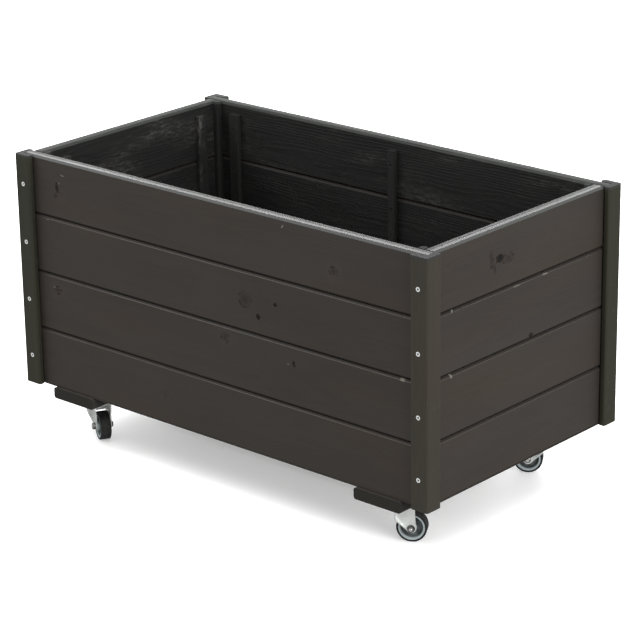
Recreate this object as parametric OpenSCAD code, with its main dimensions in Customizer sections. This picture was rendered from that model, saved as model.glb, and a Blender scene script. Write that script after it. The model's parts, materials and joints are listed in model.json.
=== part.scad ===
// Rolling planter: a wooden box of V-jointed planks on two bearers and four swivel castors.
// Millimetres. X runs along the length, the front is -Y and the floor is Z = 0.

/* [Box] */
// Overall length, over the corner trims
box_l = 900; // [600:10:1400]
// Overall width, over the corner trims
box_w = 496; // [360:4:700]
// Number of planks in each wall
plank_n = 4; // [3:1:6]
// Height that each plank covers
plank_cover = 103; // [80:1:130]
// Thickness of a plank
plank_t = 22; // [18:1:28]

/* [Plank joints] */
// Bevel on each long edge of a plank
bevel = 3.5; // [1:0.5:5]
// Thickness of the tongue
tongue_t = 7; // [5:0.5:8]
// Height of the tongue above its shoulders
tongue_h = 7; // [5:0.5:10]
// Open gap between two planks at their shoulders
joint_gap = 1.2; // [0.4:0.1:2]
// Play round the tongue in its groove
tongue_play = 0.2; // [0.1:0.1:0.5]

/* [Corners] */
// Width of each arm of a corner trim
trim_w = 34; // [28:1:50]
// Thickness of a corner trim
trim_t = 12; // [8:1:18]
// Rounding of a corner trim's edges
trim_r = 4; // [1:0.5:5]
// Side of the small batten inside each corner
corner_batten_w = 11; // [8:1:20]
// Rounding of that batten's free edge
corner_batten_r = 5; // [1:0.5:7]

/* [Wall battens] */
// Width of a wall batten
batten_w = 22; // [18:1:40]
// Width of the middle batten on a long wall
mid_batten_w = 15; // [14:1:40]
// Thickness of a wall batten
batten_t = 9; // [6:1:12]
// Distance from the top of the wall down to a batten
batten_drop = 18; // [10:1:40]
// Distance from the inner corner to the nearest batten
batten_inset = 36; // [25:1:80]
// Rounding of a wall batten's edges
batten_r = 1.5; // [0.5:0.5:3]

/* [Floor and bearers] */
// Number of floor boards
floor_n = 4; // [3:1:5]
// Thickness of a floor board
floor_t = 18; // [12:1:22]
// Draining gap between floor boards
floor_gap = 8; // [4:1:15]
// Play between the floor and the walls
floor_play = 2; // [1:0.5:4]
// Width of a bearer
bearer_w = 96; // [90:1:140]
// Thickness of a bearer
bearer_t = 20; // [17:1:40]
// Distance from the end of the box to a bearer
bearer_inset = 60; // [48:1:90]
// How far a bearer's end lies behind the outer face of the corner trims
bearer_end = 8; // [2:1:16]
// Rounding of a bearer's edges
bearer_r = 5; // [1:0.5:8]

/* [Screws] */
// Diameter of the long screws in corner trims and bearers
corner_screw_d = 4; // [3.5:0.5:5]
// Depth that the corner screws go into the end of a short plank
corner_screw_bite = 26; // [15:1:40]
// Distance from the outer face of a short plank to the corner screws in its end
corner_screw_in = 6; // [5:0.5:14]
// Diameter of the screws in battens, floor and castor plates
small_screw_d = 4; // [3:0.5:4.5]
// Distance from the upper edge of a plank down to its batten screw
batten_screw_drop = 19; // [15:1:50]
// Distance from the top of a batten down to its first screw
top_screw_drop = 25; // [12:1:40]
// Wood left behind the tip of a batten screw
screw_cover = 8; // [4:1:10]
// Depth that floor screws go into a bearer
floor_screw_bite = 14; // [10:1:16]
// Depth that castor screws go into a bearer
castor_screw_bite = 14; // [10:1:16]
// Depth that bearer screws go into a wall plank
bearer_screw_bite = 35; // [25:1:45]

/* [Castors] */
// Diameter of a wheel
wheel_d = 50; // [40:1:52]
// Width of the tyre
tyre_w = 19; // [16:1:20]
// Thickness of the tyre on the hub
tyre_t = 3.25; // [2.5:0.25:5]
// Gap between a wheel and the top of its fork
wheel_gap = 8.8; // [8:0.2:20]
// Distance from the swivel axis back to the axle
trail = 16; // [12:1:20]
// Diameter of the axle bolt
axle_d = 6; // [5:0.5:8]
// Distance from the end of a bearer to the swivel axis
castor_end = 62; // [45:1:80]
// Size of the top plate along the length of the box
plate_x = 46; // [42:1:50]
// Size of the top plate along the width of the box
plate_y = 60; // [54:1:70]
// Spacing of the plate's holes along the length of the box
plate_hole_x = 32; // [30:1:34]
// Spacing of the plate's holes along the width of the box
plate_hole_y = 46; // [42:1:48]
// Thickness of the stamped steel
steel_t = 2.2; // [1.5:0.1:2.5]
// Diameter of the kingpin
kingpin_d = 8; // [6:0.5:9]

/* [Hidden] */
$fn = 64;
eps = 0.01;
WALLS = ["front", "rear", "left", "right"];
// Each corner: name, side along X, side along Y, and where the castor there trails to, in degrees from +X
CORNERS = [
    ["front_left", -1, -1, -30],
    ["front_right", 1, -1, 31],
    ["rear_left", -1, 1, 152],
    ["rear_right", 1, 1, 212],
];
CASTOR_PARTS = ["plate", "fork", "axle", "hub", "tyre"];

// Castor heights, measured down from the underside of the bearer
dish_drop = 13.5;
race_play = 0.3;
crown_z = -(dish_drop + steel_t + race_play);
axle_z = crown_z - steel_t - wheel_gap - wheel_d / 2;
kingpin_head_t = 2;
kingpin_head_r = kingpin_d / 2 + 2.5;

// Heights
castor_h = wheel_d / 2 - axle_z;
box_z = castor_h + bearer_t;
wall_h = plank_n * plank_cover;
floor_top = box_z + floor_t;
batten_top = box_z + wall_h - batten_drop;

// Plan sizes
wall_in = trim_t + plank_t;
inner_l = box_l - 2 * wall_in;
inner_w = box_w - 2 * wall_in;
long_plank_l = box_l - 2 * trim_t;
bearer_x = box_l / 2 - bearer_inset - bearer_w / 2;
bearer_l = box_w - 2 * bearer_end;
floor_w = (inner_w - 2 * floor_play - (floor_n - 1) * floor_gap) / floor_n;
castor_y = bearer_l / 2 - castor_end;

// Screws
screw_fit = 0.1;
head_r = 0.95; // of a screw's diameter
head_h = 0.6; // of a screw's diameter
corner_screw_x = trim_t + corner_screw_in;
corner_screw_l = trim_t + plank_t + corner_screw_bite;
small_screw_l = batten_t + plank_t - screw_cover;
floor_screw_x = bearer_w / 2 - 12;
floor_screw_y = floor_w / 4;
bearer_screw_x = bearer_w / 2 - 20;
bearer_screw_y = (inner_w + plank_t) / 2;
bearer_screw_sink = 6;
bearer_screw_l = bearer_t - bearer_screw_sink + bearer_screw_bite;
floor_screw_l = floor_t + floor_screw_bite;
castor_screw_l = steel_t + castor_screw_bite;

// Castor widths
hub_r = wheel_d / 2 - tyre_t;
boss_w = tyre_w + 4;
fork_gap = boss_w + 0.6;
fork_w = fork_gap + 2 * steel_t;
fork_flare = 1.5;
fork_bend_r = steel_t + 2;
fork_crease = 16.5;
fork_lead = 10.5;
fork_wing = 8.5;
fork_round = 4;
axle_boss_r = axle_d / 2 + 4.5;
crown_r = 19;
rim_h = 5;
dish_r = 12;
running_play = 0.06;
tyre_fit = 0.2;
nut_t = 5;
nut_r = axle_d / 2 + 2.7;
flange_t = 1;
bolt_head_t = 3.6;
bolt_end = 1;
side_play = 0.1;

function is_long(wall) = wall == "front" || wall == "rear";
function wall_turn(wall) = wall == "front" ? 0 : wall == "rear" ? 180 : wall == "left" ? -90 : 90;
function wall_reach(wall) = (is_long(wall) ? box_w : box_l) / 2 - trim_t;
function wall_plank_l(wall) = is_long(wall) ? long_plank_l : inner_w;
function wall_inner_l(wall) = is_long(wall) ? inner_l : inner_w;
function plank_mid_z(i) = (i - 0.5) * plank_cover;

// Battens on a wall: place along it and width of each
function wall_battens(wall) = let (x = wall_inner_l(wall) / 2 - batten_inset - batten_w / 2)
    is_long(wall)
        ? [[-x, batten_w], [0, mid_batten_w], [x, batten_w]]
        : [[-x, batten_w], [x, batten_w]];
function batten_screw_up(i) = i * plank_cover
    - (i == plank_n ? batten_drop + top_screw_drop : batten_screw_drop);

// A rectangle with four round corners
module round_rect(w, h, r) {
    translate([r, 0]) square([w - 2 * r, h]);
    translate([0, r]) square([w, h - 2 * r]);
    for (x = [r, w - r], y = [r, h - r]) translate([x, y]) circle(r);
}

// Turns an outline drawn in (Y, Z) into a bar along X, centred on X = 0
module bar_x(length) {
    translate([-length / 2, 0, 0]) rotate([90, 0, 90]) linear_extrude(length) children();
}

// Puts children on a wall: X along it, Y inward from the planks' outer face, Z up from the planks' lower edge
module on_wall(wall) {
    rotate([0, 0, wall_turn(wall)]) translate([0, -wall_reach(wall), box_z]) children();
}

// Puts children at a corner: the origin is the outer corner, and +X and +Y run inward along the walls
module at_corner(c) {
    translate([c[1] * box_l / 2, c[2] * box_w / 2, 0]) mirror([c[1] > 0 ? 1 : 0, 0, 0])
        mirror([0, c[2] > 0 ? 1 : 0, 0]) children();
}

// A countersunk wood screw: the face of its head is at the origin and its shank points down
module wood_screw(d, length) {
    difference() {
        rotate_extrude() polygon([
            [0, 0], [d * head_r, 0], [d * head_r, -0.3], [d / 2, -d * head_h], [d / 2, -length + d],
            [0.4, -length], [0, -length],
        ]);
        // six-lobed recess for the driver
        for (turn = [0, 60, 120]) rotate([0, 0, turn])
            translate([-d * 0.48, -d * 0.14, -d * 0.4]) cube([d * 0.96, d * 0.28, d]);
    }
}

// The hole that such a screw needs
module screw_hole(d, length) {
    wide = d * head_r + screw_fit;
    narrow = d / 2 + screw_fit;
    rotate_extrude() polygon([
        [0, 1], [wide, 1], [wide, -0.3], [narrow, -d * head_h], [narrow, -length - 1], [0, -length - 1],
    ]);
}

// Places of the screws

module corner_screw_places() {
    for (c = CORNERS, i = [1:plank_n])
        at_corner(c) translate([corner_screw_x, 0, box_z + plank_mid_z(i)]) rotate([90, 0, 0]) children();
}

module batten_screw_places(wall, from, to) {
    on_wall(wall) for (b = wall_battens(wall), i = [from:to])
        translate([b[0], plank_t + batten_t, batten_screw_up(i)]) rotate([-90, 0, 0]) children();
}

module floor_screw_places(i) {
    for (side = [-1, 1], x = [-floor_screw_x, floor_screw_x], y = [-floor_screw_y, floor_screw_y])
        translate([side * bearer_x + x, floor_y(i) + y, floor_top]) children();
}

module bearer_screw_places() {
    for (side = [-1, 1], x = [-bearer_screw_x, bearer_screw_x], end = [-1, 1])
        translate([side * bearer_x + x, end * bearer_screw_y, castor_h + bearer_screw_sink])
            rotate([180, 0, 0]) children();
}

module castor_screw_places() {
    for (c = CORNERS, x = [-plate_hole_x, plate_hole_x] / 2, y = [-plate_hole_y, plate_hole_y] / 2)
        at_castor(c) translate([x, y, -steel_t]) rotate([180, 0, 0]) children();
}

// Walls

module plank_outline(top, bottom) {
    edge = top ? plank_cover : plank_cover - joint_gap;
    low = bottom ? 0.5 : bevel;
    difference() {
        union() {
            polygon([
                [0, low], [low, 0], [plank_t - low, 0], [plank_t, low],
                [plank_t, edge - bevel], [plank_t - bevel, edge], [bevel, edge], [0, edge - bevel],
            ]);
            if (!top)
                translate([(plank_t - tongue_t) / 2, edge - 1]) square([tongue_t, tongue_h + 1]);
        }
        if (!bottom)
            translate([(plank_t - tongue_t) / 2 - tongue_play, -1])
                square([tongue_t + 2 * tongue_play, tongue_h + 1]);
    }
}

module plank(wall, i) {
    color("#3b3733") difference() {
        on_wall(wall) translate([0, 0, (i - 1) * plank_cover]) bar_x(wall_plank_l(wall))
            plank_outline(i == plank_n, i == 1);
        corner_screw_places() screw_hole(corner_screw_d, corner_screw_l);
        batten_screw_places(wall, i, i) screw_hole(small_screw_d, small_screw_l);
        if (i == 1) bearer_screw_places() screw_hole(corner_screw_d, bearer_screw_l);
    }
}

module corner_trim(c) {
    color("#33332b") difference() {
        at_corner(c) translate([0, 0, box_z]) linear_extrude(wall_h) {
            round_rect(trim_w, trim_t, trim_r);
            round_rect(trim_t, trim_w, trim_r);
        }
        corner_screw_places() screw_hole(corner_screw_d, corner_screw_l);
    }
}

module corner_batten(c) {
    w = corner_batten_w;
    r = corner_batten_r;
    color("#34322d") at_corner(c) translate([wall_in, wall_in, floor_top])
        linear_extrude(box_z + wall_h - floor_top) {
            square([w, w - r]);
            square([w - r, w]);
            translate([w - r, w - r]) circle(r);
        }
}

module wall_batten_group(wall) {
    color("#34322d") difference() {
        on_wall(wall) for (b = wall_battens(wall))
            translate([b[0] - b[1] / 2, plank_t, floor_t]) linear_extrude(batten_top - floor_top)
                round_rect(b[1], batten_t, batten_r);
        batten_screw_places(wall, 1, plank_n) screw_hole(small_screw_d, small_screw_l);
    }
}

// Floor and bearers

function floor_y(i) = -inner_w / 2 + floor_play + floor_w / 2 + (i - 1) * (floor_w + floor_gap);

module floor_board(i) {
    color("#3f3a35") difference() {
        translate([0, floor_y(i) - floor_w / 2, box_z]) bar_x(inner_l - 2 * floor_play)
            round_rect(floor_w, floor_t, batten_r);
        floor_screw_places(i) screw_hole(small_screw_d, floor_screw_l);
    }
}

module bearer(side) {
    color("#2b2926") difference() {
        translate([side * bearer_x - bearer_w / 2, bearer_l / 2, castor_h]) rotate([90, 0, 0])
            linear_extrude(bearer_l) round_rect(bearer_w, bearer_t, bearer_r);
        for (i = [1:floor_n]) floor_screw_places(i) screw_hole(small_screw_d, floor_screw_l);
        bearer_screw_places() screw_hole(corner_screw_d, bearer_screw_l);
        bearer_screw_places() cylinder(h = bearer_screw_sink + eps, r = corner_screw_d * 0.95 + screw_fit);
        castor_screw_places() screw_hole(small_screw_d, castor_screw_l);
    }
}

// Screws

module corner_screws() {
    color("#c9c8c2") corner_screw_places() wood_screw(corner_screw_d, corner_screw_l);
}

module batten_screws() {
    color("#c9c8c2") for (wall = WALLS)
        batten_screw_places(wall, 1, plank_n) wood_screw(small_screw_d, small_screw_l);
}

module floor_screws() {
    color("#c9c8c2") for (i = [1:floor_n])
        floor_screw_places(i) wood_screw(small_screw_d, floor_screw_l);
}

module bearer_screws() {
    color("#c9c8c2") bearer_screw_places() wood_screw(corner_screw_d, bearer_screw_l);
}

module castor_screws() {
    color("#c9c8c2") castor_screw_places() wood_screw(small_screw_d, castor_screw_l);
}

// Castors: the origin is on the swivel axis, level with the underside of the bearer

module at_castor(c) {
    translate([c[1] * bearer_x, c[2] * castor_y, castor_h]) children();
}

// As at_castor, turned so that +X points to where the wheel trails
module at_fork(c) {
    at_castor(c) rotate([0, 0, c[3]]) children();
}

module castor_plate(c) {
    color("#b9bab6") at_castor(c) difference() {
        union() {
            translate([-plate_x / 2, -plate_y / 2, -steel_t]) linear_extrude(steel_t)
                difference() {
                    round_rect(plate_x, plate_y, 4);
                    translate([plate_x / 2, plate_y / 2]) circle(dish_r + 2);
                }
            rotate_extrude() polygon([
                [kingpin_d / 2 + running_play, -dish_drop], [dish_r - 1, -dish_drop],
                [dish_r + 1, 0], [dish_r + 3, 0], [dish_r + 3, -steel_t],
                [dish_r + 2, -steel_t], [dish_r, -dish_drop - steel_t],
                [kingpin_d / 2 + running_play, -dish_drop - steel_t],
            ]);
        }
        for (x = [-plate_hole_x, plate_hole_x] / 2, y = [-plate_hole_y, plate_hole_y] / 2)
            translate([x, y, -steel_t]) rotate([180, 0, 0]) screw_hole(small_screw_d, steel_t);
    }
}

module kingpins() {
    head_gap = 0.2;
    color("#a9aaa6") for (c = CORNERS) at_castor(c) {
        low = crown_z - steel_t - head_gap;
        translate([0, 0, -dish_drop]) cylinder(h = kingpin_head_t, r1 = kingpin_head_r, r2 = kingpin_d / 2);
        translate([0, 0, low]) cylinder(h = -dish_drop - low, r = kingpin_d / 2);
        translate([0, 0, low - kingpin_head_t])
            cylinder(h = kingpin_head_t, r1 = kingpin_d / 2, r2 = kingpin_head_r);
    }
}

// Side view of the fork: +X is the way the wheel trails. Both edges are upright, and the leading one
// turns at 45 degrees to run below the axle.
module fork_side_outline() {
    far = trail + axle_boss_r;
    low = axle_boss_r / sqrt(2);
    r = fork_round;
    polygon(concat(
        [for (a = [180:-30:90]) [-fork_lead + r + r * cos(a), crown_z - r + r * sin(a)]],
        [for (a = [90:-30:0]) [far - 1.5 - r + r * cos(a), crown_z - r + r * sin(a)]],
        [[far, axle_z], [trail - low, axle_z - low], [-fork_lead, axle_z + trail + fork_lead - 2 * low]]
    ));
    translate([trail, axle_z]) circle(axle_boss_r);
}

// One half of the fork seen from the front: down from the crown, round the bend and past the crease
function fork_half(inset) = let (
    wide = fork_w / 2 + fork_flare,
    bend = [wide - fork_bend_r, crown_z - fork_bend_r],
    r = fork_bend_r - inset
) concat(
    [for (a = [90:-15:0]) bend + r * [cos(a), sin(a)]],
    [[fork_w / 2 - inset, crown_z - fork_crease], [fork_w / 2 - inset, axle_z - wheel_d / 2]]
);

module fork_front_outline() {
    outer = fork_half(0);
    inner = fork_half(steel_t);
    for (side = [0, 1]) mirror([side, 0]) polygon(concat(
        [[-eps, crown_z]], outer, [for (k = [len(inner) - 1:-1:0]) inner[k]], [[-eps, crown_z - steel_t]]
    ));
}

// The strip along the leading edge that is turned outward, in side view and in front view
module fork_wing_side() {
    low = axle_boss_r / sqrt(2);
    turn_z = axle_z + trail + fork_lead - 2 * low;
    polygon([
        [-fork_lead, crown_z - fork_bend_r], [-fork_lead, turn_z], [trail - low, axle_z - low],
        [trail - low + steel_t / sqrt(2), axle_z - low + steel_t / sqrt(2)],
        [-fork_lead + steel_t, turn_z + steel_t * (sqrt(2) - 1)],
        [-fork_lead + steel_t, crown_z - fork_bend_r],
    ]);
}

module fork_wing_front() {
    base = fork_w / 2 - steel_t / 2;
    for (side = [0, 1]) mirror([side, 0]) polygon([
        [base, crown_z - fork_bend_r], [fork_w / 2 + fork_wing - 2, crown_z - fork_bend_r],
        [fork_w / 2 + fork_wing, crown_z - fork_bend_r - 2],
        [fork_w / 2 + fork_wing, crown_z - fork_crease + 3],
        [fork_w / 2 + 0.5, axle_z], [base, axle_z],
    ]);
}

module castor_fork(c) {
    reach = fork_w / 2 + fork_wing + 1;
    color("#b9bab6") at_fork(c) difference() {
        union() {
            intersection() {
                bar_x(2 * (trail + wheel_d)) fork_front_outline();
                translate([0, reach, 0]) rotate([90, 0, 0]) linear_extrude(2 * reach) fork_side_outline();
            }
            intersection() {
                bar_x(2 * (trail + wheel_d)) fork_wing_front();
                translate([0, reach, 0]) rotate([90, 0, 0]) linear_extrude(2 * reach) fork_wing_side();
            }
            // the web that joins both cheeks along the leading edge
            translate([-fork_lead, -fork_w / 2 + eps, crown_z - fork_crease])
                cube([steel_t, fork_w - 2 * eps, fork_crease - eps]);
            translate([0, 0, crown_z - steel_t]) cylinder(h = steel_t, r = crown_r);
            // the raised rim that shields the ball race
            translate([0, 0, crown_z - steel_t]) difference() {
                cylinder(h = steel_t + rim_h, r = crown_r);
                translate([0, 0, -1]) cylinder(h = steel_t + rim_h + 2, r = crown_r - steel_t);
            }
        }
        translate([0, 0, crown_z - steel_t - 1]) cylinder(h = steel_t + 2, r = kingpin_d / 2 + running_play);
        translate([trail, reach, axle_z]) rotate([90, 0, 0])
            cylinder(h = 2 * reach, r = axle_d / 2 + running_play);
    }
}

// The axle bolt has a round head on one side and a flanged nut on the other
module castor_axle(c) {
    side = fork_w / 2 + side_play;
    color("#8f918f") at_fork(c) translate([trail, 0, axle_z]) rotate([90, 0, 0]) {
        rotate_extrude() polygon([
            [0, -side - bolt_head_t], [nut_r - 2, -side - bolt_head_t],
            [nut_r - 0.6, -side - bolt_head_t + 1], [nut_r, -side - 1], [nut_r, -side], [axle_d / 2, -side],
            [axle_d / 2, side + nut_t + bolt_end - 0.6], [axle_d / 2 - 0.6, side + nut_t + bolt_end],
            [0, side + nut_t + bolt_end],
        ]);
        translate([0, 0, side]) difference() {
            union() {
                cylinder(h = nut_t, r = nut_r, $fn = 6);
                cylinder(h = flange_t, r = nut_r + 0.8);
            }
            translate([0, 0, -1]) cylinder(h = nut_t + 2, r = axle_d / 2 + running_play);
        }
    }
}

module castor_hub(c) {
    half = tyre_w / 2 - 0.5;
    boss = boss_w / 2;
    color("#8d938f") at_fork(c) translate([trail, 0, axle_z]) rotate([90, 0, 0])
        rotate_extrude() polygon([
            [axle_d / 2 + running_play, -boss], [7.5, -boss], [8.5, -boss + 1], [9, -2.5],
            [hub_r - 5.5, -2.5], [hub_r - 4, -half + 2], [hub_r - 3, -half], [hub_r - tyre_fit, -half],
            [hub_r - tyre_fit, half], [hub_r - 3, half], [hub_r - 4, half - 2], [hub_r - 5.5, 2.5],
            [9, 2.5], [8.5, boss - 1], [7.5, boss], [axle_d / 2 + running_play, boss],
        ]);
}

module castor_tyre(c) {
    // the shoulder's circle stays clear of the bore, so that it doesn't cut into the hub
    shoulder = min(2, tyre_t / 2 - 0.1);
    color("#1c1c1c") at_fork(c) translate([trail, 0, axle_z]) rotate([90, 0, 0])
        rotate_extrude() translate([hub_r, -tyre_w / 2]) {
            square([tyre_t - shoulder, tyre_w]);
            translate([0, shoulder]) square([tyre_t, tyre_w - 2 * shoulder]);
            for (y = [shoulder, tyre_w - shoulder]) translate([tyre_t - shoulder, y]) circle(shoulder);
        }
}

for (wall = WALLS, i = [1:plank_n])
    plank(wall, i);
for (c = CORNERS) {
    corner_trim(c);
    corner_batten(c);
    castor_plate(c);
    castor_fork(c);
    castor_axle(c);
    castor_hub(c);
    castor_tyre(c);
}
for (wall = WALLS)
    wall_batten_group(wall);
for (i = [1:floor_n])
    floor_board(i);
bearer(-1);  // bearer_left
bearer(1);  // bearer_right
corner_screws();
batten_screws();
floor_screws();
bearer_screws();
castor_screws();
kingpins();
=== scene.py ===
import json
import math
import random

import bpy
from mathutils import Matrix, Vector


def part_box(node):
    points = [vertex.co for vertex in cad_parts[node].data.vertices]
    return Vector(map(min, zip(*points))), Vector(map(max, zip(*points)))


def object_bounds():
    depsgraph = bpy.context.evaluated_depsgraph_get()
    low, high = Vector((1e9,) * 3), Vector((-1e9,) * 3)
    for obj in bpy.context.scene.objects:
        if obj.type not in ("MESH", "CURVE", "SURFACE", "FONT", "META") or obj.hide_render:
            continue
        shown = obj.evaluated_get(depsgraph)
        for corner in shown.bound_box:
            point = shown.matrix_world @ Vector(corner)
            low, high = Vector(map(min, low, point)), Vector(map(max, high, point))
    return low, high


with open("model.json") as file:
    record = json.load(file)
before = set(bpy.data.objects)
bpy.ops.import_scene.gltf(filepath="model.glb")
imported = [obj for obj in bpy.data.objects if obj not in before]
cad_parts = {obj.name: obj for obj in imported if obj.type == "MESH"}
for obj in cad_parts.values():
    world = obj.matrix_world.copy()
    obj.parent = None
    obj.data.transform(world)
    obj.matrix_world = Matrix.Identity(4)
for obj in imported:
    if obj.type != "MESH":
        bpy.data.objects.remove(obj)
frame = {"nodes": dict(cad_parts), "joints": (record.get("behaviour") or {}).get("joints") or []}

cad_box = [list(corner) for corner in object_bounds()]
nodes = frame["nodes"]
joints = {joint["name"]: joint for joint in frame["joints"]}
RIM = cad_box[1][2]  # height of the wall's upper edge

# Sizes, in metres. A pair is where something begins and where it has its full strength.
BEVEL = 0.0035  # of the joints between planks
COVER = 0.103  # height that one plank covers, without its tongue
BOLT_GLINT = (0.0036, 0.0022)  # from the axle outward, where the bolt's face is dark and where it is bright with a painted glint
HUB_DEPTH = (0.0098, 0.006)  # from the wheel's middle plane, the recess of the hub
HUB_RIM = (0.0187, 0.0172)  # from the axle, the same recess
TREAD = (0.0238, 0.0247)  # from the axle, the tyre's running face
MOULD_LINE = (0.0005, 0.0002)  # from the wheel's middle plane

HARD_KNOT = 0.7  # depth of colour above which a knot is hard and sharp
SPREAD = 40  # how far apart two nodes may lie in a texture

# Colours
PLANK = (0.0318, 0.0262, 0.0216)
# colour of the walls' sawn inside faces, darkened with painted shade of the box's inside
INSIDE_PAINTED_SHADE = (0.0075, 0.0073, 0.0071)
TRIM = (0.0335, 0.0293, 0.0212)
# a darker, greener copy of TRIM for the front-left and rear-right corners: painted shade
SHADED_OLIVE_TRIM = (0.0225, 0.0218, 0.0135)
# cooler, paler colour on the wall's upper edge: painted sheen where its whitish highlight falls
RIM_SHEEN_TINT = (0.0290, 0.0310, 0.0290)
BATTEN = (0.0085, 0.0084, 0.0079)
FLOOR = (0.0180, 0.0160, 0.0140)
BEARER = (0.0350, 0.0315, 0.0265)
KNOT_TINT = (1.25, 0.93, 0.78)
BARE_WOOD = (0.135, 0.125, 0.105)
DUST = (0.092, 0.090, 0.082)
ZINC = (0.84, 0.85, 0.82)
SCREW_ZINC = (0.93, 0.93, 0.9)
WORN_ZINC = (0.3, 0.3, 0.28)
STEEL = (0.66, 0.66, 0.64)
RECESS_DARK = (0.05, 0.048, 0.044)
HUB = (0.34, 0.39, 0.395)
# colour of the hub's recess: grime with painted shade
HUB_GRIME_AND_SHADE = (0.035, 0.041, 0.04)
TYRE = (0.012, 0.012, 0.0125)
TREAD_DUST = (0.045, 0.045, 0.042)


# Node trees


class Tree:
    """A material's nodes. A number, a tuple or another node's output can go into any input."""

    def __init__(self, name):
        self.material = bpy.data.materials.new(name)
        self.material.use_nodes = True
        self.nodes = self.material.node_tree.nodes
        self.links = self.material.node_tree.links
        self.nodes.clear()

    def add(self, kind, inputs=None, **settings):
        node = self.nodes.new(kind)
        for key, value in settings.items():
            setattr(node, key, value)
        for key, value in (inputs or {}).items():
            self.put(node.inputs[key], value)
        return node

    def put(self, socket, value):
        if isinstance(value, bpy.types.NodeSocket):
            self.links.new(value, socket)
        else:
            socket.default_value = value

    def math(self, operation, *values, clamp=False):
        node = self.add("ShaderNodeMath", operation=operation, use_clamp=clamp)
        for socket, value in zip(node.inputs, values):
            self.put(socket, value)
        return node.outputs[0]

    def total(self, *values):
        result = values[0]
        for value in values[1:]:
            result = self.math("ADD", result, value)
        return result

    def vector(self, operation, *values):
        node = self.add("ShaderNodeVectorMath", operation=operation)
        for socket, value in zip(node.inputs, values):
            self.put(socket, value)
        return node.outputs["Value" if operation in ("LENGTH", "DOT_PRODUCT") else "Vector"]

    def span(self, value, start, end, low=0.0, high=1.0, **settings):
        """Goes straight from low to high while value goes from start to end."""
        inputs = {"Value": value, "From Min": start, "From Max": end, "To Min": low, "To Max": high}
        return self.add("ShaderNodeMapRange", inputs, **settings).outputs[0]

    def step(self, *values):
        """The same, but smoothly. It falls where start is above end."""
        return self.span(*values, interpolation_type="SMOOTHSTEP")

    def mix(self, factor, a, b, blend="MIX"):
        node = self.add("ShaderNodeMix", data_type="RGBA", blend_type=blend)
        for index, value in ((0, factor), (6, a), (7, b)):
            self.put(node.inputs[index], value)
        return node.outputs[2]

    def scaled(self, vector, scale, offset=(0, 0, 0)):
        return self.vector("MULTIPLY_ADD", vector, scale, offset)

    def times(self, vector, factor):
        node = self.add("ShaderNodeVectorMath", {0: vector, "Scale": factor}, operation="SCALE")
        return node.outputs["Vector"]

    def join(self, *values):
        return self.add("ShaderNodeCombineXYZ", dict(enumerate(values))).outputs[0]

    def split(self, vector):
        return self.add("ShaderNodeSeparateXYZ", {0: vector}).outputs

    def noise(self, vector, detail=2.0, roughness=0.5, distortion=0.0, colour=False):
        inputs = {"Vector": vector, "Scale": 1.0, "Detail": detail, "Roughness": roughness,
                  "Distortion": distortion}
        node = self.add("ShaderNodeTexNoise", inputs)
        return node.outputs["Color" if colour else "Fac"]

    def cells(self, vector):
        return self.add("ShaderNodeTexVoronoi", {"Vector": vector, "Scale": 1.0}).outputs["Color"]

    def place(self, output="Object"):
        return self.add("ShaderNodeTexCoord").outputs[output]

    def shader(self, **inputs):
        shader = self.add("ShaderNodeBsdfPrincipled",
                          {name.replace("_", " "): value for name, value in inputs.items()})
        output = self.add("ShaderNodeOutputMaterial")
        self.links.new(shader.outputs[0], output.inputs["Surface"])
        return self.material

    def bump(self, height, distance):
        return self.add("ShaderNodeBump", {"Height": height, "Distance": distance, "Strength": 1.0}).outputs[0]


def rgba(colour, factor=1.0):
    return tuple(channel * factor for channel in colour) + (1.0,)


def offset_from(dice):
    """Where in a texture a node lies, so that no two look alike."""
    return [dice.uniform(-SPREAD, SPREAD) for _ in range(3)]


# Wood. Each board has its own piece of trunk: u runs along the grain, v across and w through the board.

ALONG = {"x": "XZY", "y": "YZX", "z": "ZXY", "floor": "XYZ", "bearer": "YXZ"}


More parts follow.
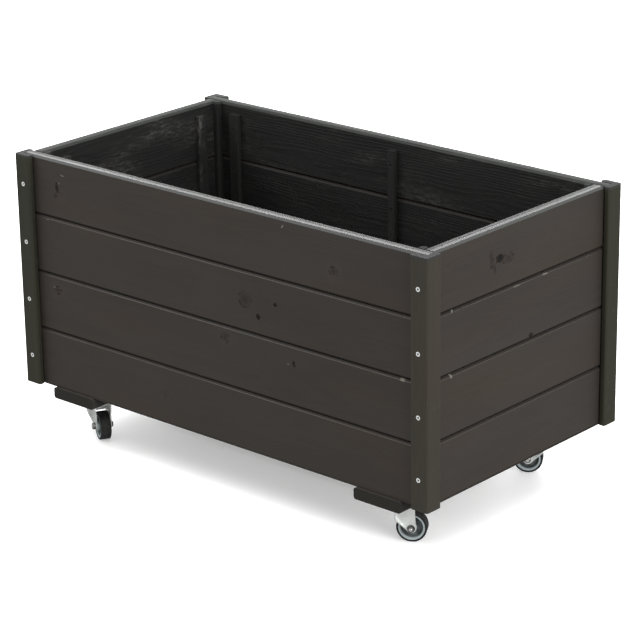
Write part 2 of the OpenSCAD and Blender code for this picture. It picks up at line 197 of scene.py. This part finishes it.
def wood(node, run, colour, figure=0.0, inner=None, knots=(), flecks=(), shine=0.25, rough=0.5, dust=0.0,
         chance_knots=0, joint_tone=1.0, joint_rough=0.15, rim_rough=0.0):
    """Dark stained softwood. figure is how much the grain shows, from 0 on a planed face to 1 on a sawn one.
    inner is (place along w, side), beyond which the face is sawn and darkened with painted shade of the box's
    inside. joint_tone darkens the bevels of the joints, joint_rough dulls them, and rim_rough dulls the wall's
    upper edge."""
    dice = random.Random(node)
    low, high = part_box(node)
    u_axis, v_axis, w_axis = ("XYZ".index(letter) for letter in ALONG[run])
    v_mid, w_mid = (low[v_axis] + high[v_axis]) / 2, (low[w_axis] + high[w_axis]) / 2
    half = (high[v_axis] - low[v_axis]) / 2
    if run in "xy":  # a plank, whose box also holds its tongue
        half = COVER / 2
        v_mid = low[v_axis] + half
    t = Tree(node)
    parts = t.split(t.place())
    u, v, w = parts[u_axis], parts[v_axis], parts[w_axis]
    board = t.join(u, v, w)
    shift = offset_from(dice)

    # where the face is sawn and not planed, and where it is cut across the grain
    if inner:
        sawn = t.step(t.math("MULTIPLY", t.math("SUBTRACT", w, inner[0]), float(inner[1])), -0.0004, 0.0004,
                      figure, 1.0)
    else:
        sawn = figure
    facing = t.split(t.place("Normal"))
    end_grain = t.step(t.math("ABSOLUTE", facing[u_axis]), 0.75, 0.95)

    # growth rings round a pith that wanders a little
    wander = t.noise(t.scaled(board, (1.6, 5.0, 5.0), shift), 2.0)
    ripple = t.noise(t.scaled(board, (9.0, 34.0, 34.0), shift[::-1]), 2.0)
    pith_w = w_mid + dice.choice((-1, 1)) * dice.uniform(0.018, 0.045)
    pith_v = v_mid + dice.uniform(-0.03, 0.03)
    lean = dice.uniform(0.02, 0.05) * dice.choice((-1, 1))
    across = t.total(v, t.span(wander, 0.0, 1.0, -0.03, 0.03), -pith_v)
    through = t.total(w, t.math("MULTIPLY", u, lean), t.span(ripple, 0, 1, -0.004, 0.004), -pith_w)
    ring = t.math("SQRT", t.math("ADD", t.math("MULTIPLY", across, across),
                                 t.math("MULTIPLY", through, through)))

    # knots: those that are given, then some by chance
    every = list(knots)
    length = high[u_axis] - low[u_axis]
    for _ in range(chance_knots):
        every.append((low[u_axis] + length * dice.uniform(0.08, 0.92),
                      v_mid + (high[v_axis] - low[v_axis]) * dice.uniform(-0.36, 0.36),
                      dice.uniform(0.0025, 0.0095), dice.uniform(0.25, 0.8), dice.uniform(0.0, 0.25),
                      dice.uniform(0.8, 1.7)))
    dark, pale, dent = 0.0, 0.0, 0.0
    if every or flecks:  # the board's face, warped a little, so that no knot or chip is quite round
        warp = t.noise(t.scaled(board, (150, 150, 150), shift), 2.0, colour=True)
        rough_flat = t.vector("ADD", t.join(u, v), t.scaled(warp, (0.008, 0.008, 0), (-0.004, -0.004, 0)))
    if any(depth <= HARD_KNOT for _, _, _, depth, _, _ in every):  # what breaks a soft knot's outline
        gaps = t.step(t.noise(t.scaled(board, (110, 110, 110), shift[::-1]), 2.0), 0.42, 0.6)
    for along, up, radius, depth, halo, longer in every:
        wide = radius * longer
        away = t.scaled(rough_flat, (1 / wide, 1 / radius, 0), (-along / wide, -up / radius, 0))
        far = t.vector("LENGTH", away)
        solid = depth > HARD_KNOT
        core = t.step(far, *((1.15, 0.55, 0.0, depth) if solid else (1.3, 0.0, 0.0, depth * 0.8)))
        outline = t.math("ABSOLUTE", t.math("SUBTRACT", far, 1.0))
        outline = t.step(outline, 0.28, 0.0, 0.0, min(1.0, depth * 1.3))
        if not solid:
            outline = t.math("MULTIPLY", outline, gaps)
        glow = t.step(far, 3.2, 0.9, 0.0, halo)
        pull = t.step(far, 4.0, 0.0, 0.0, radius * 1.4)
        dark = t.math("MAXIMUM", dark, t.math("MAXIMUM", core, outline))
        pale = t.math("MAXIMUM", pale, glow)
        dent = t.math("MAXIMUM", dent, core)
        ring = t.math("ADD", ring, pull)

    turn = t.math("FRACT", t.total(t.math("MULTIPLY", ring, 1 / dice.uniform(0.0038, 0.0052)),
                                   t.span(ripple, 0, 1, 0, 0.8)))
    late = t.math("MULTIPLY", t.step(turn, 0.35, 0.88), t.step(turn, 1.0, 0.93))
    broken = t.noise(t.scaled(board, (14, 60, 60), shift), 3.0, 0.6)
    late = t.math("MULTIPLY", late, t.step(broken, 0.3, 0.6, 0.15, 1.0))
    fine = t.noise(t.scaled(board, (9, 620, 620), shift), 3.0, 0.65)
    streak = t.noise(t.scaled(board, (3.0, 150, 150), shift[::-1]), 4.0, 0.6)
    blotch = t.noise(t.scaled(board, (3.2, 9.0, 9.0), shift), 4.0, 0.55)

    # tone: planed faces show little of the grain, sawn ones much more
    tone = t.total(
        1.0,
        t.span(blotch, 0.3, 0.7, -0.09, 0.09),
        t.math("MULTIPLY", t.span(streak, 0.25, 0.75, -1, 1), t.math("MULTIPLY_ADD", sawn, 0.17, 0.05)),
        t.math("MULTIPLY", t.span(fine, 0.2, 0.8, -1, 1), t.math("MULTIPLY_ADD", sawn, 0.16, 0.06)),
        t.math("MULTIPLY", late, t.math("MULTIPLY_ADD", sawn, -0.2, -0.07)),
    )
    edge = t.math("ABSOLUTE", t.math("SUBTRACT", v, v_mid))
    near_edge = t.step(edge, half - BEVEL * 1.25, half - BEVEL * 1.02)
    rim = t.step(parts[2], RIM - BEVEL * 1.3, RIM - BEVEL)
    crack = t.span(t.noise(t.scaled(board, (420, 420, 420), shift), 3.0, 0.7), 0.3, 0.7, 0.8, 1.3)
    tone = t.math("MULTIPLY", tone, t.math("SUBTRACT", 1.0, t.math("MULTIPLY", dark, crack, clamp=True)))
    tone = t.math("MULTIPLY", tone, t.math("MULTIPLY_ADD", end_grain, -0.45, 1.0))
    joint = t.math("MULTIPLY", near_edge, t.math("SUBTRACT", 1.0, rim))
    tone = t.math("MULTIPLY", tone, t.math("MULTIPLY_ADD", joint, joint_tone - 1.0, 1.0))
    tone = t.math("ADD", tone, t.math("MULTIPLY", pale, t.span(fine, 0.35, 0.7, 0.1, 1.0)))
    hue = t.noise(t.scaled(board, (2.1, 12.0, 12.0), shift[::-1]), 2.0)
    cool = tuple(channel * factor for channel, factor in zip(colour, (0.94, 1.0, 1.08)))
    warm = tuple(channel * factor for channel, factor in zip(colour, (1.05, 1.0, 0.93)))
    shade = t.mix(t.span(hue, 0.3, 0.7), rgba(cool), rgba(warm))
    if inner:
        # the inside faces take a much darker colour: painted shade of the box's inside over the sawn wood,
        # weaker on the bevels
        inside_shade_mask = t.math("MULTIPLY", sawn, t.math("MULTIPLY_ADD", near_edge, -0.6, 1.0))
        shade = t.mix(inside_shade_mask, shade, rgba(INSIDE_PAINTED_SHADE))
    # the wall's upper edge takes a cooler, paler colour: painted sheen
    shade = t.mix(rim, shade, rgba(RIM_SHEEN_TINT))
    shade = t.times(shade, tone)
    shade = t.mix(dark, shade, rgba(KNOT_TINT), "MULTIPLY")

    # bare, pale wood at chips
    chips = 0.0
    for along, up, half_u, half_v in flecks:
        away = t.scaled(rough_flat, (1 / half_u, 1 / half_v, 0), (-along / half_u, -up / half_v, 0))
        chips = t.math("MAXIMUM", chips, t.step(t.vector("LENGTH", away), 1.1, 0.6))
    # worn edges along the joints
    patchy = t.noise(t.scaled(board, (70, 260, 260), shift), 3.0, 0.7)
    wear = t.math("MULTIPLY", near_edge, t.step(patchy, 0.64, 0.76, 0.0, 0.4))
    chips = t.math("MAXIMUM", chips, wear)
    shade = t.mix(chips, shade, rgba(BARE_WOOD))
    if dust:
        cloud = t.noise(t.scaled(board, (6, 20, 20), shift[::-1]), 5.0, 0.65)
        grit = t.noise(t.scaled(board, (70, 260, 260), shift), 4.0, 0.7)
        powder = t.math("MULTIPLY", t.step(cloud, 0.45, 0.72, 0.0, dust), t.step(grit, 0.38, 0.7))
        if inner:
            powder = t.math("MULTIPLY", powder, sawn)
        shade = t.mix(powder, shade, rgba(DUST))

    height = t.total(
        t.math("MULTIPLY", fine, t.math("MULTIPLY_ADD", sawn, 0.8, 0.2)),
        t.math("MULTIPLY", late, t.math("MULTIPLY_ADD", sawn, 0.55, 0.08)),
        t.math("MULTIPLY", streak, t.math("MULTIPLY_ADD", sawn, 1.0, 0.25)),
        t.math("MULTIPLY", dent, -0.8),
        t.math("MULTIPLY", chips, -0.5),
    )
    gloss = t.total(rough, t.math("MULTIPLY", sawn, 0.14), t.span(fine, 0.2, 0.8, -0.06, 0.06),
                    t.span(blotch, 0.3, 0.7, -0.05, 0.05), t.math("MULTIPLY", chips, 0.2),
                    t.math("MULTIPLY", end_grain, 0.3), t.math("MULTIPLY", rim, rim_rough),
                    t.math("MULTIPLY", joint, joint_rough), t.math("MULTIPLY", dark, 0.3))
    return t.shader(Base_Color=shade, Roughness=gloss, Specular_IOR_Level=shine,
                    Normal=t.bump(height, 0.00035))


# Metal, plastic and rubber


def zinc(node, colour=ZINC, rough=0.34, size=1.0, recess=None):
    """Zinc-plated steel: faint crystals, rolling lines, rub marks and dull spots. recess is (axis, level,
    side), beyond which a screw's recess is darker."""
    dice = random.Random(node)
    shift = offset_from(dice)
    t = Tree(node)
    place = t.place()
    crystal = t.cells(t.scaled(place, (260 * size,) * 3, shift))
    crystal = t.vector("DOT_PRODUCT", crystal, (0.33, 0.33, 0.33))
    cloud = t.noise(t.scaled(place, (45, 45, 60), shift), 4.0, 0.6)
    rubbed = t.noise(t.scaled(place, (240, 240, 1100), shift[::-1]), 3.0, 0.6)
    spots = t.step(t.noise(t.scaled(place, (420, 420, 420), shift), 2.0, 0.6), 0.62, 0.72)
    tone = t.total(1.0, t.span(crystal, 0.1, 0.9, -0.05, 0.05), t.span(cloud, 0.3, 0.7, -0.08, 0.06),
                   t.span(rubbed, 0.3, 0.7, -0.04, 0.04), t.math("MULTIPLY", spots, -0.1))
    shade = t.times(t.mix(t.span(cloud, 0.3, 0.7), rgba(colour), rgba(colour[::-1], 0.98)), tone)
    gloss = t.total(rough, t.span(crystal, 0, 1, -0.05, 0.05), t.span(cloud, 0.3, 0.7, -0.05, 0.08),
                    t.math("MULTIPLY", spots, 0.15))
    if recess:
        axis, level, side = recess
        depth = t.split(place)[axis]
        if axis == 1:
            depth = t.math("ABSOLUTE", depth)
        # a screw's recess is darker
        sunk = t.step(t.math("MULTIPLY", t.math("SUBTRACT", depth, level), float(side)), 0.0001, 0.0004)
        shade = t.mix(sunk, shade, rgba(RECESS_DARK))
        gloss = t.math("ADD", gloss, t.math("MULTIPLY", sunk, 0.4))
    height = t.total(t.math("MULTIPLY", rubbed, 0.5), t.math("MULTIPLY", cloud, 0.6),
                     t.math("MULTIPLY", spots, -0.4))
    return t.shader(Base_Color=shade, Metallic=0.55, Roughness=gloss, Normal=t.bump(height, 0.00008))


def turned(t, corner):
    """Distance from a wheel's axle, along it, and the place itself, all turning with the wheel."""
    joint = joints[f"{corner}_roll"]
    centre, axis = Vector(joint["pos_m"]), Vector(joint["axis"]).normalized()
    place = t.vector("SUBTRACT", t.place(), tuple(centre))
    along = t.vector("DOT_PRODUCT", place, tuple(axis))
    return t.vector("LENGTH", t.vector("SUBTRACT", place, t.times(tuple(axis), along))), along, place


def bolt(node, corner):
    """Bright turned steel with faint lathe rings, a painted glint in the middle of its face and darker further
    out.
    """
    t = Tree(node)
    away, along, place = turned(t, corner)
    rings = t.noise(t.scaled(t.join(away, along), (5200, 5200, 0)), 2.0)
    cloud = t.noise(t.scaled(place, (160, 160, 160), (3, 1, 4)), 4.0, 0.6)
    tone = t.total(1.0, t.span(rings, 0.3, 0.7, -0.07, 0.07), t.span(cloud, 0.3, 0.7, -0.1, 0.08))
    # bright in the middle of the bolt's face and dark further out: a painted glint
    shade = t.times(STEEL, t.math("MULTIPLY", tone, t.step(away, *BOLT_GLINT, 0.3, 1.3)))
    gloss = t.total(0.22, t.span(rings, 0.3, 0.7, -0.05, 0.05), t.span(cloud, 0.3, 0.7, -0.03, 0.1))
    height = t.total(rings, cloud)
    return t.shader(Base_Color=shade, Metallic=1.0, Roughness=gloss, Normal=t.bump(height, 0.00004))


def plastic(node, corner):
    """Grey moulded hub: fine spark texture, flow lines out from the bore, and grime with painted shade in the
    recess.
    """
    dice = random.Random(node)
    shift = offset_from(dice)
    t = Tree(node)
    away, along, place = turned(t, corner)
    spark = t.noise(t.scaled(place, (1500, 1500, 1500), shift), 3.0, 0.6)
    flow = t.noise(t.scaled(place, (90, 90, 90), shift), 4.0, 0.6, 1.5)
    # the hub's recess is darkened: grime with painted shade where the fork shadows it
    deep = t.math("MULTIPLY", t.step(t.math("ABSOLUTE", along), *HUB_DEPTH), t.step(away, *HUB_RIM))
    grime_and_shade = t.math("MULTIPLY", deep, t.span(flow, 0.25, 0.6, 0.6, 1.0))
    tone = t.total(1.0, t.span(flow, 0.3, 0.7, -0.07, 0.07), t.span(spark, 0.3, 0.7, -0.05, 0.05))
    shade = t.mix(grime_and_shade, t.times(HUB, tone), rgba(HUB_GRIME_AND_SHADE))
    gloss = t.total(0.42, t.span(spark, 0.3, 0.7, -0.06, 0.06), t.math("MULTIPLY", grime_and_shade, 0.3))
    return t.shader(Base_Color=shade, Roughness=gloss, Specular_IOR_Level=0.5,
                    Normal=t.bump(t.total(spark, t.math("MULTIPLY", flow, 1.5)), 0.00006))


def rubber(node, corner):
    """Black tyre: turned rings on the sidewall, a scuffed, dusty tread and a mould line."""
    dice = random.Random(node)
    shift = offset_from(dice)
    t = Tree(node)
    away, along, place = turned(t, corner)
    cloud = t.noise(t.scaled(place, (130, 130, 130), shift), 5.0, 0.65)
    grit = t.noise(t.scaled(place, (900, 900, 900), shift[::-1]), 3.0, 0.7)
    ringed = t.noise(t.scaled(t.join(away, along), (3600, 600, 0), shift), 2.0)
    tread = t.step(away, *TREAD)
    scuffed = t.step(t.math("ADD", cloud, t.math("MULTIPLY", grit, 0.35)), 0.5, 0.85)
    scuffed = t.math("MULTIPLY", tread, scuffed)
    seam = t.math("MULTIPLY", tread, t.step(t.math("ABSOLUTE", along), *MOULD_LINE))
    tone = t.total(1.0, t.span(cloud, 0.3, 0.7, -0.15, 0.2), t.span(ringed, 0.3, 0.7, -0.08, 0.08))
    shade = t.mix(t.math("MULTIPLY", scuffed, 0.7), t.times(TYRE, tone), rgba(TREAD_DUST))
    gloss = t.total(0.6, t.span(grit, 0.3, 0.7, -0.06, 0.06), t.math("MULTIPLY", scuffed, 0.25))
    height = t.total(t.math("MULTIPLY", ringed, 0.5), t.math("MULTIPLY", grit, 0.5),
                     t.math("MULTIPLY", seam, 1.5), t.math("MULTIPLY", scuffed, -0.5))
    return t.shader(Base_Color=shade, Roughness=gloss, Specular_IOR_Level=0.14,
                    Normal=t.bump(height, 0.0001))


def stained_metal(node):
    """Screws that were stained over with the wood, worn to bare zinc here and there."""
    t = Tree(node)
    place = t.place()
    patch = t.noise(t.scaled(place, (330, 330, 330), (5, 2, 8)), 4.0, 0.65)
    grain = t.noise(t.scaled(place, (1600, 1600, 1600), (1, 7, 3)), 3.0, 0.6)
    bare = t.step(patch, 0.6, 0.72, 0.0, 0.8)
    shade = t.mix(bare, rgba(BATTEN, 0.9), rgba(WORN_ZINC))
    gloss = t.total(0.55, t.span(grain, 0.3, 0.7, -0.08, 0.08), t.math("MULTIPLY", bare, -0.15))
    return t.shader(Base_Color=shade, Roughness=gloss, Specular_IOR_Level=0.4,
                    Normal=t.bump(t.total(grain, t.math("MULTIPLY", bare, -1.0)), 0.00008))


# What each node wears

# The knots and chips that show on the two near walls, for each plank, in metres. A knot is (along, height,
# radius, depth of colour, lightness round it, how much longer along the grain), and a chip is (along, height,
# half length, half height).
KNOTS = {
    "front_plank_4": [(-0.361, 0.461, 0.0080, 0.8, 0.0, 0.45), (-0.365, 0.446, 0.0042, 0.6, 0.0, 0.9),
                      (-0.352, 0.450, 0.0050, 0.25, 0.2, 1.0),
                      (0.254, 0.444, 0.0085, 0.6, 0.2, 1.0)],
    "front_plank_3": [(0.131, 0.363, 0.0033, 1.0, 0.0, 1.0), (0.094, 0.334, 0.0043, 1.0, 0.0, 0.9),
                      (0.066, 0.357, 0.013, 0.55, 0.0, 1.0)],
    "front_plank_2": [(-0.371, 0.277, 0.0070, 0.7, 0.25, 1.2), (0.020, 0.283, 0.0085, 0.62, 0.2, 1.1),
                      (0.169, 0.272, 0.0042, 0.85, 0.0, 0.8)],
    "front_plank_1": [(-0.12, 0.150, 0.006, 0.25, 0.0, 1.3)],
    "right_plank_4": [(-0.078, 0.461, 0.0130, 0.65, 0.0, 0.35), (-0.070, 0.444, 0.0095, 0.6, 0.0, 0.4),
                      (-0.057, 0.458, 0.0058, 1.0, 0.0, 1.5), (-0.036, 0.453, 0.0070, 0.5, 0.0, 2.1),
                      (-0.184, 0.479, 0.0035, 0.25, 0.15, 1.2)],
    "right_plank_3": [(0.026, 0.309, 0.0040, 0.85, 0.0, 1.2)],
}
FLECKS = {
    "front_plank_4": [(0.149, 0.4965, 0.0028, 0.0014), (-0.347, 0.485, 0.006, 0.0012),
                      (-0.356, 0.470, 0.0018, 0.0012)],
    "front_plank_3": [(-0.388, 0.4005, 0.004, 0.0010)],
    "front_plank_2": [(0.391, 0.300, 0.005, 0.0030), (-0.379, 0.281, 0.0025, 0.0014),
                      (0.157, 0.2695, 0.0028, 0.0008)],
    "right_plank_3": [(-0.172, 0.4030, 0.0030, 0.0024), (-0.012, 0.4010, 0.010, 0.0010),
                      (0.060, 0.4015, 0.008, 0.0010)],
    "right_plank_2": [(-0.175, 0.2985, 0.0024, 0.0040)],
}
# For each kind of screw: axis, where the heads' outer face lies on it, and the side on which the recess lies
RECESS = {"corner_screws": (1, 0.248, -1), "floor_screws": (2, 0.115, -1), "bearer_screws": (2, 0.083, 1),
          "castor_screws": (2, 0.0748, 1)}
# For each wall: where the middle of its planks lies across the wall, and the side on which the inside is
INNER = {"front": (-0.225, 1), "rear": (0.225, -1), "left": (-0.427, 1), "right": (0.427, -1)}


def finish_of(node):
    words = node.split("_")
    corner = "_".join(words[-2:])
    if "plank" in node:
        wall = words[0]
        is_long = wall in ("front", "rear")
        return wood(node, "x" if is_long else "y", PLANK, inner=INNER[wall],
                    knots=KNOTS.get(node, ()), flecks=FLECKS.get(node, ()),
                    chance_knots={"left": 1, "rear": 2}.get(wall, 0),
                    joint_tone=0.78 if is_long else 0.65,
                    joint_rough=0.25 if is_long else 0.45,
                    rim_rough=0.3 if wall in ("rear", "left") else 0.0,
                    dust={"left_plank_4": 0.65, "rear_plank_4": 0.3}.get(node, 0.12))
    if "trim" in node:
        # the front-left and rear-right trims take the darker copy of the trim colour: painted shade
        return wood(node, "z", TRIM if corner in ("front_right", "rear_left") else SHADED_OLIVE_TRIM, figure=0.1)
    if "corner_batten" in node:
        return wood(node, "z", BATTEN, figure=0.35, rough=0.7)
    if node.endswith("battens"):
        return wood(node, "z", BATTEN, figure=0.4, rough=0.7, dust=1.8 if node == "left_battens" else 0.2)
    if "floor_board" in node:
        return wood(node, "floor", FLOOR, figure=0.8, rough=0.62, chance_knots=3, dust=0.3)
    if "bearer_" in node and "screws" not in node:
        return wood(node, "bearer", BEARER, figure=0.5, rough=0.6, chance_knots=2)
    if node == "batten_screws":
        return stained_metal(node)
    if "screws" in node:
        return zinc(node, SCREW_ZINC, rough=0.3, size=2.5, recess=RECESS[node])
    if "hub" in node:
        return plastic(node, corner)
    if "tyre" in node:
        return rubber(node, corner)
    if "axle" in node:
        return bolt(node, corner)
    return zinc(node)


for name, thing in nodes.items():
    made = finish_of(name)
    if not thing.data.materials:
        thing.data.materials.append(None)
    for place in thing.material_slots:
        place.material = made


# Studio: a pale floor with a little light of its own, a soft sky and five soft boxes

FLOOR_HALF = 9  # metres
FLOOR_GLOW = 0.3
SKY_STOPS = ((0.0, 0.30), (0.46, 0.34), (0.56, 0.62), (0.75, 1.0))  # from straight down to up, and how bright
SKY_STRENGTH = 1.45
AIM = (0, 0, 0.28)  # what every soft box faces
SOFT_BOXES = {  # place, size, watts
    "light_above": ((0.4, -0.6, 3.4), (2.6, 2.6), 20),
    "light_right": ((3.3, -0.75, 1.4), (2.0, 1.6), 63),
    "light_behind": ((-2.1, 2.35, 1.35), (3.0, 1.1), 75),
    "light_front_left": ((-2.0, -1.1, 2.5), (1.3, 1.3), 42),
    "light_back_right": ((1.15, 2.4, 2.4), (1.3, 1.3), 24),
}

floor_mesh = bpy.data.meshes.new("studio_floor")
floor_mesh.from_pydata([(x * FLOOR_HALF, y * FLOOR_HALF, 0) for x, y in ((-1, -1), (1, -1), (1, 1), (-1, 1))],
                       [], [(0, 1, 2, 3)])
studio_floor = bpy.data.objects.new("studio_floor", floor_mesh)
bpy.context.scene.collection.objects.link(studio_floor)
paper = Tree("studio_paper")
mottle = paper.noise(paper.scaled(paper.place(), (1.5, 1.5, 1.5)), 2.0)
floor_mesh.materials.append(paper.shader(
    Base_Color=paper.mix(mottle, rgba((0.90, 0.90, 0.90)), rgba((0.92, 0.92, 0.915))),
    Roughness=0.9, Specular_IOR_Level=0.1, Emission_Color=rgba((0.95, 0.95, 0.95)),
    Emission_Strength=FLOOR_GLOW))
studio_floor.visible_diffuse = False
studio_floor.visible_glossy = False

world = bpy.data.worlds.new("studio")
world.use_nodes = True
sky = world.node_tree.nodes
way = sky.new("ShaderNodeTexCoord")
split = sky.new("ShaderNodeSeparateXYZ")
ramp = sky.new("ShaderNodeValToRGB")
stops = ramp.color_ramp.elements
for at, grey in SKY_STOPS:
    stop = stops[0] if at == 0.0 else stops.new(at)
    stop.color = (grey, grey, grey, 1.0)
lift = sky.new("ShaderNodeMapRange")
lift.inputs["From Min"].default_value = -1.0
world.node_tree.links.new(way.outputs["Generated"], split.inputs[0])
world.node_tree.links.new(split.outputs["Z"], lift.inputs["Value"])
world.node_tree.links.new(lift.outputs[0], ramp.inputs[0])
world.node_tree.links.new(ramp.outputs[0], sky["Background"].inputs["Color"])
sky["Background"].inputs["Strength"].default_value = SKY_STRENGTH
bpy.context.scene.world = world

for name, (place, size, watts) in SOFT_BOXES.items():
    light = bpy.data.lights.new(name, "AREA")
    light.shape = "RECTANGLE"
    light.size, light.size_y = size
    light.energy = watts
    lamp = bpy.data.objects.new(name, light)
    toward = Vector(AIM) - Vector(place)
    lamp.matrix_world = Matrix.Translation(place) @ toward.to_track_quat("-Z", "Y").to_matrix().to_4x4()
    lamp.visible_camera = False
    bpy.context.scene.collection.objects.link(lamp)

# Camera, from a fit to the photograph's edges

EYE = (2.7853, -3.1117, 1.7455)
YAW, PITCH, ROLL = (math.radians(angle) for angle in (131.673, -19.807, -0.866))
LENS, SENSOR = 148.22, 36.0  # millimetres
ahead = Vector((math.cos(YAW) * math.cos(PITCH), math.sin(YAW) * math.cos(PITCH), math.sin(PITCH)))
right = Vector((math.sin(YAW), -math.cos(YAW), 0))
up = right.cross(ahead)
turned_right = math.cos(ROLL) * right + math.sin(ROLL) * up
turned_up = math.cos(ROLL) * up - math.sin(ROLL) * right
camera_data = bpy.data.cameras.new("camera")
camera_data.sensor_width = SENSOR
camera_data.lens = LENS
camera_data.clip_end = 60.0
camera = bpy.data.objects.new("camera", camera_data)
turn = Matrix((turned_right, turned_up, -ahead)).transposed().to_4x4()
camera.matrix_world = Matrix.Translation(EYE) @ turn
bpy.context.scene.collection.objects.link(camera)
bpy.context.scene.camera = camera
bpy.context.scene.view_settings.view_transform = "Standard"
